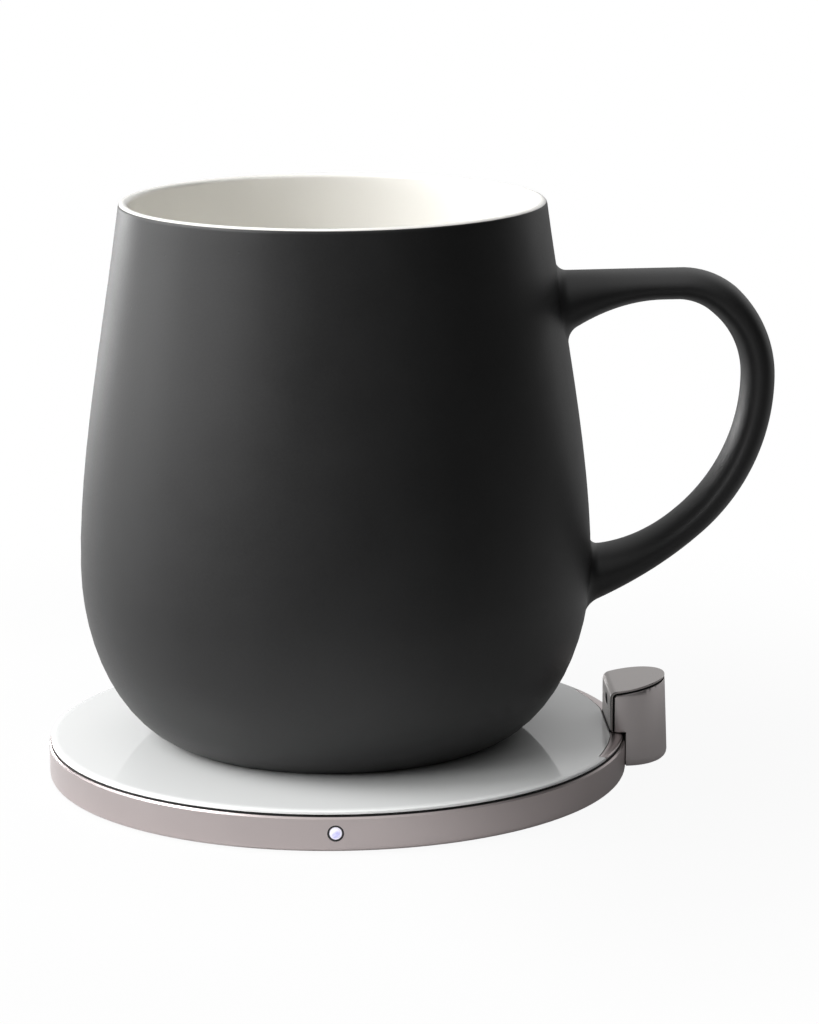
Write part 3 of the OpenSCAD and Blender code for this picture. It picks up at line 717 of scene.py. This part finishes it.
@dataclass
class Handle:
    """The mug's handle, drawn along its centre line and rounded into the belly."""

    root_x: float = 39.96 * MM
    root_z: float = 87.68 * MM
    slope: float = math.radians(-0.5)
    run: float = 21.2 * MM
    run_thickness: float = 5.4 * MM
    bends: tuple[Bend, ...] = (
        Bend(math.radians(42.0), 12.3 * MM, 6.3 * MM),
        Bend(math.radians(90.0), 18.1 * MM, 4.98 * MM),
        Bend(math.radians(140.0), 34.8 * MM, 4.95 * MM),
    )
    tail_radius: float = 73.6 * MM
    tail_thickness: float = 5.7 * MM
    width: float = 12.5 * MM
    flare_upper: float = 6.5 * MM
    flare_lower: float = 3.8 * MM
    swell_upper: float = 18.3 * MM
    swell_lower: float = 19.2 * MM
    belly_x: float = 45.6 * MM
    depth: float = 2.0 * MM
    fine_step: float = 0.2 * MM
    fine_length: float = 3.4 * MM
    step: float = 0.9 * MM
    fillet: float = 1.8 * MM
    tuck: float = 0.4 * MM
    tuck_slope: float = 0.25
    tuck_run: float = 1.5
    least_steepness: float = 0.01
    sides: int = 64

    def build(self, belly: Piece, glaze: Material) -> Piece:
        """Makes the handle.

        Args:
            belly: The mug's body, which the handle runs into.
            glaze: The handle's material.

        Returns:
            The handle.
        """
        rings = self._rings()
        handle = self._sweep(rings)
        self._round_into(handle, belly)
        handle.data.materials.append(glaze)
        select_only(handle)
        bpy.ops.object.shade_smooth()
        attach(handle, Body.MUG.value)
        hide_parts("mug_handle")
        LOG.info("handle of %d rings", len(rings))
        return handle

    def _root(self, length: float) -> list[float]:
        """Places along a root, close together where it meets the belly.

        Args:
            length: The root's length.

        Returns:
            Distances from the belly, in rising order.
        """
        fine = round((self.depth + self.fine_length) / self.fine_step)
        near = [self.fine_step * i - self.depth for i in range(fine)]
        wide = max(1, round((length - self.fine_length) / self.step))
        gap = (length - self.fine_length) / wide
        return near + [self.fine_length + gap * i for i in range(wide)]

    @staticmethod
    def _fading(size: float, length: float, distance: float) -> float:
        """Swelling that fades out over a length.

        Args:
            size: The swelling at the belly.
            length: The distance over which it fades.
            distance: The distance from the belly.

        Returns:
            The swelling.
        """
        return size * max(0.0, 1.0 - max(0.0, distance) / length) ** 2

    def _rings(self) -> list[Ring]:
        """Places the rings: out of the belly, round the bends and back along the tail.

        Returns:
            The rings in order.
        """
        start = Ring(self.root_x, self.root_z, self.slope, self.run_thickness)
        rings = [
            start.onward(gap, self.run_thickness).swollen(
                self._fading(self.flare_upper, self.swell_upper, gap)
            )
            for gap in self._root(self.run)
        ]
        corner = start.onward(self.run, self.run_thickness)
        for bend in self.bends:
            length = (bend.turn - corner.turn) * bend.radius
            steps = round(length / self.step)
            gain = bend.thickness - corner.thickness
            rings += [
                corner.onward(length * i / steps, corner.thickness + gain * i / steps, bend.radius)
                for i in range(steps)
            ]
            corner = corner.onward(length, bend.thickness, bend.radius)
        reach = math.sin(corner.turn) + (self.belly_x - corner.x) / self.tail_radius
        length = (math.pi - math.asin(reach) - corner.turn) * self.tail_radius
        gain = self.tail_thickness - corner.thickness
        for gap in reversed(self._root(length)):
            swell = self._fading(self.flare_lower, self.swell_lower, gap)
            thickness = corner.thickness + gain * min(1.0, 1.0 - gap / length)
            rings.append(corner.onward(length - gap, thickness, self.tail_radius).swollen(swell))
        return rings

    def _half_sizes(self, ring: Ring) -> tuple[float, float]:
        """Returns a ring's half width and half thickness."""
        return self.width / 2 + ring.swell / 4, (ring.thickness + ring.swell) / 2

    def _centre(self, ring: Ring) -> Vector:
        """Returns a ring's middle, which moves to the finger's side as the ring swells."""
        return Vector((
            ring.x - ring.swell / 2 * math.sin(ring.turn), 0.0,
            ring.z - ring.swell / 2 * math.cos(ring.turn),
        ))

    def _sweep(self, rings: list[Ring]) -> Piece:
        """Extrudes an oval from ring to ring.

        Args:
            rings: The rings.

        Returns:
            The closed sweep.
        """
        bpy.ops.object.select_all(action="DESELECT")
        bpy.ops.mesh.primitive_circle_add(
            vertices=self.sides, radius=1.0, fill_type="NGON",
            location=self._centre(rings[0]), rotation=(0.0, math.pi / 2, 0.0),
        )
        handle = bpy.context.object
        handle.name = handle.data.name = "handle"
        half_width, half_thickness = self._half_sizes(rings[0])
        handle.scale = (half_thickness, half_width, 1.0)
        bpy.ops.object.transform_apply(location=True, rotation=True, scale=True)
        bpy.ops.object.mode_set(mode="EDIT")
        bpy.ops.mesh.select_all(action="SELECT")
        for before, after in zip(rings, rings[1:]):
            start, end = self._centre(before), self._centre(after)
            bpy.ops.mesh.extrude_region_move(TRANSFORM_OT_translate={"value": end - start})
            self._reshape(before, after, end)
        bpy.ops.mesh.select_all(action="SELECT")
        bpy.ops.mesh.normals_make_consistent(inside=False)
        bpy.ops.object.mode_set(mode="OBJECT")
        return handle

    def _reshape(self, before: Ring, after: Ring, centre: Vector) -> None:
        """Turns and scales the selected ring.

        Args:
            before: The ring that it was.
            after: The ring that it becomes.
            centre: Its middle.
        """
        turn = after.turn - before.turn
        if turn:
            bpy.ops.transform.rotate(value=-turn, orient_axis="Y", center_override=centre)
        old_width, old_thickness = self._half_sizes(before)
        new_width, new_thickness = self._half_sizes(after)
        if (old_width, old_thickness) != (new_width, new_thickness):
            frame = Matrix.Rotation(after.turn, 3, "Y")
            bpy.ops.transform.resize(
                value=(1.0, new_width / old_width, new_thickness / old_thickness),
                orient_type="GLOBAL", orient_matrix=frame, center_override=centre,
            )

    def _round_into(self, handle: Piece, belly: Piece) -> None:
        """Rounds both roots into the belly and tucks their ends into its wall.

        Args:
            handle: The sweep.
            belly: The mug's body.
        """
        turned = TurnedSurface(belly)
        moves = []
        for vertex in handle.data.vertices:
            height, normal = turned.height(vertex.co)
            if height > self.fillet:
                continue
            lean = vertex.normal.dot(normal)
            steep = math.sqrt(max(1.0 - lean * lean, self.least_steepness))
            new_height, margin = self._rounded(height)
            down = (vertex.normal * lean - normal) / steep
            out = (vertex.normal - normal * lean) / steep
            moved = vertex.co + down * ((height - new_height) / steep) + out * margin
            moves.append((vertex, turned.at_height(moved, new_height)))
        for vertex, moved in moves:
            vertex.co = moved
        handle.data.update()

    def _rounded(self, height: float) -> tuple[float, float]:
        """Returns the new height above the belly and the margin of a point near it."""
        if height < 0.0:
            tucked = min(-height, self.tuck)
            deeper = max(0.0, -height - self.tuck)
            return -tucked * self.tuck_slope - deeper, self.fillet + tucked * self.tuck_run
        turn = math.pi / 2 * (1.0 - height / self.fillet)
        return self.fillet * (1.0 - math.sin(turn)), self.fillet * (1.0 - math.cos(turn))


class TurnedSurface:
    """The outside of a turned body, which stands on the frame's own axis."""

    def __init__(self, body: Piece, reach: float = 90 * MM, gap: float = 1 * MM) -> None:
        """Takes the body.

        Args:
            body: The turned body.
            reach: A radius that lies outside the body.
            gap: The height over which its slope is taken.
        """
        self.body = body
        self.reach = reach
        self.gap = gap

    def radius(self, z: float) -> float:
        """Returns the body's outer radius at a height."""
        start = Vector((0.0, -self.reach, z))
        found, place, _, _ = self.body.ray_cast(start, Vector((0.0, 1.0, 0.0)))
        return place.xy.length if found else 0.0

    def height(self, point: Vector) -> tuple[float, Vector]:
        """Measures a point against the surface.

        Args:
            point: The point.

        Returns:
            Its height above the surface, and the surface's normal.
        """
        slope = (self.radius(point.z + self.gap) - self.radius(point.z - self.gap)) / (2 * self.gap)
        outward = Vector((point.x, point.y, 0.0)).normalized()
        normal = (outward - Vector((0.0, 0.0, slope))).normalized()
        return (point.xy.length - self.radius(point.z)) * normal.dot(outward), normal

    def at_height(self, point: Vector, height: float) -> Vector:
        """Returns the point, moved straight out from the axis to a height above the surface."""
        now, normal = self.height(point)
        outward = Vector((point.x, point.y, 0.0)).normalized()
        return point + outward * ((height - now) / normal.dot(outward))


def select_only(piece: Piece) -> None:
    """Selects one object and makes it active.

    Args:
        piece: The object.
    """
    bpy.ops.object.select_all(action="DESELECT")
    piece.select_set(True)
    bpy.context.view_layer.objects.active = piece


def fresh_copy(node: Piece, name: str, dissolve: bool = True) -> Piece:
    """Copies a part of the frame as one welded mesh of flat faces, and selects the copy.

    Args:
        node: The part.
        name: The copy's name.
        dissolve: Whether faces in one plane become one face.

    Returns:
        The copy.
    """
    piece = node.copy()
    piece.data = node.data.copy()
    piece.name = piece.data.name = name
    bpy.context.scene.collection.objects.link(piece)
    select_only(piece)
    bpy.ops.mesh.customdata_custom_splitnormals_clear()
    bpy.ops.object.mode_set(mode="EDIT")
    bpy.ops.mesh.select_all(action="SELECT")
    bpy.ops.mesh.remove_doubles(threshold=WELD_DISTANCE)
    if dissolve:
        bpy.ops.mesh.dissolve_limited(angle_limit=FLAT_ANGLE)
    bpy.ops.object.mode_set(mode="OBJECT")
    return piece


def finish_piece(piece: Piece, material: Material, body: Body = Body.PAD) -> None:
    """Smooths a piece, gives it its material and lets it ride on its body.

    Args:
        piece: The piece.
        material: Its material, named as its slot.
        body: The body that it rides on.
    """
    select_only(piece)
    bpy.ops.object.shade_smooth_by_angle(angle=SMOOTH_ANGLE)
    bpy.ops.object.modifier_add(type="WEIGHTED_NORMAL")
    piece.modifiers[-1].weight = AREA_WEIGHT
    piece.modifiers[-1].keep_sharp = True
    bpy.ops.object.modifier_apply(modifier=piece.modifiers[-1].name)
    piece.data.materials.clear()
    piece.data.materials.append(material)
    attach(piece, body.value)
    LOG.info("made %s with %d faces", piece.name, len(piece.data.polygons))


@dataclass(frozen=True)
class SmoothBelly:
    """The mug's turned body, made again with one smooth slope from foot to lip."""

    name: str = "mug_body_smooth"

    def build(self, body: Piece, glaze: Material) -> None:
        """Makes the body.

        Args:
            body: The frame's own body of the mug.
            glaze: The body's material.
        """
        finish_piece(fresh_copy(body, self.name, dissolve=False), glaze, Body.MUG)
        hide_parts("mug_body")


@dataclass(frozen=True)
class BrokenEdges:
    """A metal part of the frame, made again with its sharp edges broken."""

    node: str
    width: float = 0.1 * MM
    segments: int = 2
    sharpness: float = math.radians(38.0)

    def build(self, frame: dict[str, Any]) -> None:
        """Makes the part.

        Args:
            frame: The frame.
        """
        node = frame["nodes"][self.node]
        piece = fresh_copy(node, f"{self.node}_eased")
        bpy.ops.object.mode_set(mode="EDIT")
        bpy.ops.mesh.select_mode(type="EDGE")
        bpy.ops.mesh.select_all(action="DESELECT")
        bpy.ops.mesh.edges_select_sharp(sharpness=self.sharpness)
        bpy.ops.mesh.bevel(offset=self.width, segments=self.segments, clamp_overlap=False)
        bpy.ops.object.mode_set(mode="OBJECT")
        finish_piece(piece, node.material_slots[0].material)
        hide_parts(self.node)


@dataclass(frozen=True)
class PostGapShades:
    """Black pieces that are painted shade in the post's gaps: under its folded cover, along its
    foot and at the rim.
    """

    post_middle: Point = (51.7 * MM, 0.0, 0.0)
    post_radius: float = 7.6 * MM
    recess: float = 0.45 * MM
    shift: Point = (0.2 * MM, 0.0, -0.396 * MM)
    bead_top: float = 7.88 * MM
    bead_out: float = 0.1 * MM
    joint_radii: tuple[float, float] = (51.9 * MM, 52.2 * MM)
    joint_heights: tuple[float, float] = (1.6 * MM, 7.3 * MM)
    joint_angle: float = math.radians(17.2)
    joint_steps: int = 24

    def build(self, cover: Piece, rubber: Material) -> None:
        """Makes the three black pieces of painted shade.

        Args:
            cover: The frame's folded cover.
            rubber: The black material of these pieces of painted shade.
        """
        for piece in (self._under_cover(cover), self._foot_bead(cover), self._joint()):
            finish_piece(piece, rubber)

    def _under_cover(self, cover: Piece) -> Piece:
        """Makes the folded black strip between the cover and the shell, painted shade in the gap
        under the cover.
        """
        piece = fresh_copy(cover, "post_cover_gap_shade")
        size = 1.0 - self.recess / self.post_radius
        bpy.ops.object.mode_set(mode="EDIT")
        bpy.ops.mesh.select_all(action="SELECT")
        bpy.ops.transform.resize(value=(size, size, 1.0), center_override=self.post_middle)
        bpy.ops.transform.translate(value=self.shift)
        bpy.ops.object.mode_set(mode="OBJECT")
        return piece

    def _foot_bead(self, cover: Piece) -> Piece:
        """Makes the black strip along the foot of the flat face, painted shade in the gap there."""
        piece = fresh_copy(cover, "post_foot_gap_shade")
        bpy.ops.object.mode_set(mode="EDIT")
        bpy.ops.mesh.select_all(action="SELECT")
        bpy.ops.mesh.bisect(
            plane_co=(0.0, 0.0, self.bead_top), plane_no=(0.0, 0.0, 1.0),
            use_fill=True, clear_outer=True,
        )
        bpy.ops.mesh.select_all(action="SELECT")
        bpy.ops.transform.translate(value=(-self.bead_out, 0.0, 0.0))
        bpy.ops.object.mode_set(mode="OBJECT")
        return piece

    def _joint(self) -> Piece:
        """Makes the curved black strip between the rim and the post, painted shade in the gap
        between them.
        """
        inner, outer = self.joint_radii
        low, high = self.joint_heights
        bpy.ops.object.select_all(action="DESELECT")
        bpy.ops.mesh.primitive_plane_add(
            size=1.0, location=((inner + outer) / 2, 0.0, (low + high) / 2),
            rotation=(math.pi / 2, 0.0, 0.0),
        )
        piece = bpy.context.object
        piece.name = piece.data.name = "post_joint_gap_shade"
        piece.scale = (outer - inner, high - low, 1.0)
        bpy.ops.object.transform_apply(location=True, rotation=True, scale=True)
        bpy.ops.object.mode_set(mode="EDIT")
        bpy.ops.mesh.select_all(action="SELECT")
        bpy.ops.transform.rotate(
            value=-self.joint_angle / 2, orient_axis="Z", center_override=(0.0, 0.0, 0.0)
        )
        bpy.ops.mesh.spin(
            steps=self.joint_steps, angle=self.joint_angle, center=(0.0, 0.0, 0.0),
            axis=(0.0, 0.0, 1.0),
        )
        bpy.ops.mesh.select_all(action="SELECT")
        bpy.ops.mesh.normals_make_consistent(inside=False)
        bpy.ops.object.mode_set(mode="OBJECT")
        return piece


@dataclass(frozen=True)
class Indicator:
    """The lit indicator in the rim: a domed light pipe low in a black cup."""

    turn: float = math.radians(92.2)
    height: float = 3.65 * MM
    rim_radius: float = 52.0 * MM
    cup_radius: float = 1.42 * MM
    cup_wall: float = 0.34 * MM
    cup_inset: float = 0.12 * MM
    cup_length: float = 2.4 * MM
    cup_depth: float = 0.9 * MM
    pipe_radius: float = 1.04 * MM
    pipe_drop: float = 0.1 * MM
    pipe_proud: float = 0.22 * MM
    pipe_length: float = 6.4 * MM
    dome_share: float = 0.55
    dome_steps: int = 8
    front_cosine: float = 0.9
    sides: int = 64

    @property
    def outward(self) -> Vector:
        """The way it faces."""
        return Vector((math.cos(self.turn), -math.sin(self.turn), 0.0))

    def build(self, cup_black: Material, pipe_lit: Material) -> None:
        """Makes the cup and the light pipe.

        Args:
            cup_black: The cup's material.
            pipe_lit: The light pipe's material.
        """
        finish_piece(self._cup(), cup_black)
        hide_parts("led_collar")
        finish_piece(self._pipe(), pipe_lit)
        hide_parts("led_lens")

    def _rod(
        self, name: str, radius: float, front: float, length: float, drop: float = 0.0
    ) -> Piece:
        """Makes a rod that lies in the rim, with its front end outwards, in edit mode.

        Args:
            name: The rod's name.
            radius: Its radius.
            front: The distance of its front end from the pad's axis.
            length: Its length.
            drop: How far it lies below the indicator's own height.

        Returns:
            The rod, with its front face selected.
        """
        place = self.outward * (front - length / 2) + Vector((0.0, 0.0, self.height - drop))
        bpy.ops.object.select_all(action="DESELECT")
        bpy.ops.mesh.primitive_cylinder_add(
            vertices=self.sides, radius=radius, depth=length, location=place,
            rotation=(math.pi / 2, 0.0, math.pi / 2 - self.turn),
        )
        rod = bpy.context.object
        rod.name = rod.data.name = name
        bpy.ops.object.transform_apply(location=True, rotation=True, scale=True)
        bpy.ops.object.mode_set(mode="EDIT")
        bpy.ops.mesh.select_mode(type="FACE")
        bpy.ops.mesh.select_all(action="DESELECT")
        bpy.ops.object.mode_set(mode="OBJECT")
        for face in rod.data.polygons:
            face.select = face.normal.dot(self.outward) > self.front_cosine
        bpy.ops.object.mode_set(mode="EDIT")
        return rod

    def _cup(self) -> Piece:
        """Makes the black cup."""
        front = self.rim_radius - self.cup_inset
        cup = self._rod("indicator_cup", self.cup_radius, front, self.cup_length)
        bpy.ops.mesh.inset(thickness=self.cup_wall)
        inwards = -self.outward * self.cup_depth
        bpy.ops.mesh.extrude_region_move(TRANSFORM_OT_translate={"value": inwards})
        bpy.ops.object.mode_set(mode="OBJECT")
        return cup

    def _pipe(self) -> Piece:
        """Makes the light pipe and rounds its front end to a dome."""
        front = self.rim_radius + self.pipe_proud
        pipe = self._rod(
            "indicator_pipe", self.pipe_radius, front, self.pipe_length, self.pipe_drop
        )
        bpy.ops.mesh.bevel(
            offset_type="OFFSET", offset=self.pipe_radius * self.dome_share,
            segments=self.dome_steps, profile=0.5,
        )
        bpy.ops.object.mode_set(mode="OBJECT")
        return pipe


@dataclass(frozen=True)
class Glow:
    """A soft patch of light in the world, round one direction."""

    azimuth: float
    height: float
    sharpness: float
    strength: float

@dataclass(frozen=True)
class SoftBox:
    """A square area lamp that faces the object."""

    name: str
    azimuth: float
    height: float
    size: float
    power: float
    distance: float = 1.2
    target: Point = (0.0, 0.0, 0.05)

    def build(self) -> None:
        """Makes the lamp."""
        data = bpy.data.lights.new(self.name, "AREA")
        data.shape = "SQUARE"
        data.size = self.size
        data.energy = self.power
        lamp = bpy.data.objects.new(self.name, data)
        bpy.context.scene.collection.objects.link(lamp)
        place = Vector(direction(self.azimuth, self.height)) * self.distance
        facing = (Vector(self.target) - place).to_track_quat("-Z", "Y")
        lamp.matrix_world = Matrix.Translation(place) @ facing.to_matrix().to_4x4()


@dataclass
class Studio:
    """Floor, lamps, world and camera."""

    camera_place: Point = (-18.20 * MM, -642.32 * MM, 189.37 * MM)
    camera_pitch: float = -12.473
    camera_turn: float = -2.80
    camera_roll: float = -0.30
    lens: float = 129.4
    sensor: float = 36.0
    floor_size: float = 8.0
    floor_near: Colour = (0.65, 0.65, 0.65)
    floor_far: Colour = (0.05, 0.05, 0.05)
    floor_fade: tuple[float, float] = (0.085, 0.2)
    floor_shade: float = 0.65
    shade_reach: tuple[float, float] = (0.0, 0.06)
    near_white: float = 0.94
    white_fade: tuple[float, float] = (0.06, 0.2)
    mirrored_floor: float = 0.1
    patch_radii: tuple[float, float] = (0.085, 0.13)
    patch_depths: tuple[float, float] = (-0.12, 0.0)
    patch_left: float = 0.8
    left_reach: tuple[float, float] = (0.0, 0.05)
    patch_right: float = 0.35
    right_reach: tuple[float, float] = (0.03, 0.1)
    backdrop: float = 0.5
    backdrop_fade: tuple[float, float] = (0.2, 0.8)
    glows: tuple[Glow, ...] = (
        Glow(60.0, 12.0, 14.0, 1.0),
        Glow(90.0, 12.0, 14.0, 0.15),
        Glow(180.0, 12.0, 14.0, 0.9),
        Glow(90.0, 42.0, 8.0, 0.68),
        Glow(270.0, 42.0, 8.0, 0.55),
        Glow(0.0, 90.0, 8.0, 1.25),
    )
    lamps: tuple[SoftBox, ...] = (
        SoftBox("key", 185.0, 45.0, 0.6, 9.9),
        SoftBox("front key", 212.0, 30.0, 0.6, 6.7),
        SoftBox("back key", 165.0, 20.0, 0.6, 6.8),
        SoftBox("left edge", 125.0, 4.0, 0.25, 3.0),
        SoftBox("right edge", 40.0, 5.0, 0.2, 0.2),
    )

    def build(self) -> None:
        """Makes the studio."""
        self._camera()
        self._floor()
        self._world()
        for lamp in self.lamps:
            lamp.build()

    def _camera(self) -> None:
        """Makes the camera at the photograph's viewpoint."""
        data = bpy.data.cameras.new("camera")
        data.lens = self.lens
        data.sensor_fit = "VERTICAL"
        data.sensor_height = self.sensor
        camera = bpy.data.objects.new("camera", data)
        bpy.context.scene.collection.objects.link(camera)
        turn = Matrix.Rotation(math.radians(self.camera_turn), 4, "Z")
        pitch = Matrix.Rotation(math.radians(90.0 + self.camera_pitch), 4, "X")
        roll = Matrix.Rotation(math.radians(self.camera_roll), 4, "Z")
        camera.matrix_world = Matrix.Translation(self.camera_place) @ turn @ pitch @ roll
        bpy.context.scene.camera = camera

    def _floor(self) -> None:
        """Makes the floor: white where it is seen, with the object's shadow kept."""
        bpy.ops.object.select_all(action="DESELECT")
        bpy.ops.mesh.primitive_plane_add(size=self.floor_size)
        floor = bpy.context.object
        floor.name = "floor"
        graph = Graph.material("floor")
        x, y, _ = graph.axes()
        radius = (x * x + y * y) ** 0.5
        whiter = radius.rise(*self.white_fade) * (1.0 - self.near_white)
        seen = graph.rays("Camera") * (self.near_white + whiter)
        away = radius.rise(*self.patch_radii) * y.rise(*self.patch_depths)
        left_patch = away * (0.0 - x).rise(*self.left_reach) * self.patch_left
        right_patch = away * x.rise(*self.right_reach) * self.patch_right
        patches = left_patch.at_least(right_patch).at_least(self.mirrored_floor)
        white = seen.at_least(graph.rays("Glossy", "Transmission") * patches)
        shade = x.rise(*self.shade_reach) * self.floor_shade
        far = radius.rise(*self.floor_fade).at_least(shade)
        colour = graph.mixed(far, self.floor_near, self.floor_far)
        lit = graph.node("ShaderNodeBsdfDiffuse", {}, colour)
        plain = graph.node("ShaderNodeEmission", {}, (1.0, 1.0, 1.0), 1.0)
        mix = graph.node("ShaderNodeMixShader", {}, white, lit.outputs[0], plain.outputs[0])
        graph.node("ShaderNodeOutputMaterial", {}, Surface=mix.outputs[0])
        floor.data.materials.append(graph.owner)

    def _world(self) -> None:
        """Sets the world: white where it is seen, with soft glows behind and above."""
        world = bpy.data.worlds.new("world")
        bpy.context.scene.world = world
        graph = Graph(world)
        place = graph.node("ShaderNodeTexCoord", {}).outputs["Generated"]
        light: Operand = 0.0
        for glow in self.glows:
            aim = direction(glow.azimuth, glow.height)
            facing = graph.towards(place, aim).at_least(0.0)
            light = facing ** glow.sharpness * glow.strength + light
        backwards = graph.towards(place, (0.0, 1.0, 0.0))
        behind = backwards.rise(*self.backdrop_fade) * self.backdrop
        light = light.at_least(graph.rays("Glossy", "Transmission") * behind)
        strength = graph.rays("Camera").at_least(light)
        shader = graph.node("ShaderNodeBackground", {}, (1.0, 1.0, 1.0), strength)
        graph.node("ShaderNodeOutputWorld", {}, Surface=shader.outputs[0])


def main() -> None:
    """Builds the scene."""
    logging.basicConfig(level=logging.INFO, format="%(name)s: %(message)s")
    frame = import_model()
    Studio().build()
    finishes = Finishes()
    finishes.build()
    finishes.dress(frame)
    ceramic = finishes.made["charcoal_ceramic"]
    Handle().build(frame["nodes"]["mug_body"], ceramic)
    SmoothBelly().build(frame["nodes"]["mug_body"], ceramic)
    # The post's gaps are filled with black pieces as painted shade.
    PostGapShades().build(frame["nodes"]["post_cover"], finishes.made["gasket_rubber"])
    for edges in (
        BrokenEdges("post_shell", 0.06 * MM),
        BrokenEdges("post_cover"),
        BrokenEdges("post_bracket"),
    ):
        edges.build(frame)
    Indicator().build(finishes.made["collar_black"], finishes.made["light_pipe"])
    bpy.context.scene.view_settings.view_transform = "Standard"


if __name__ == "__main__":
    main()
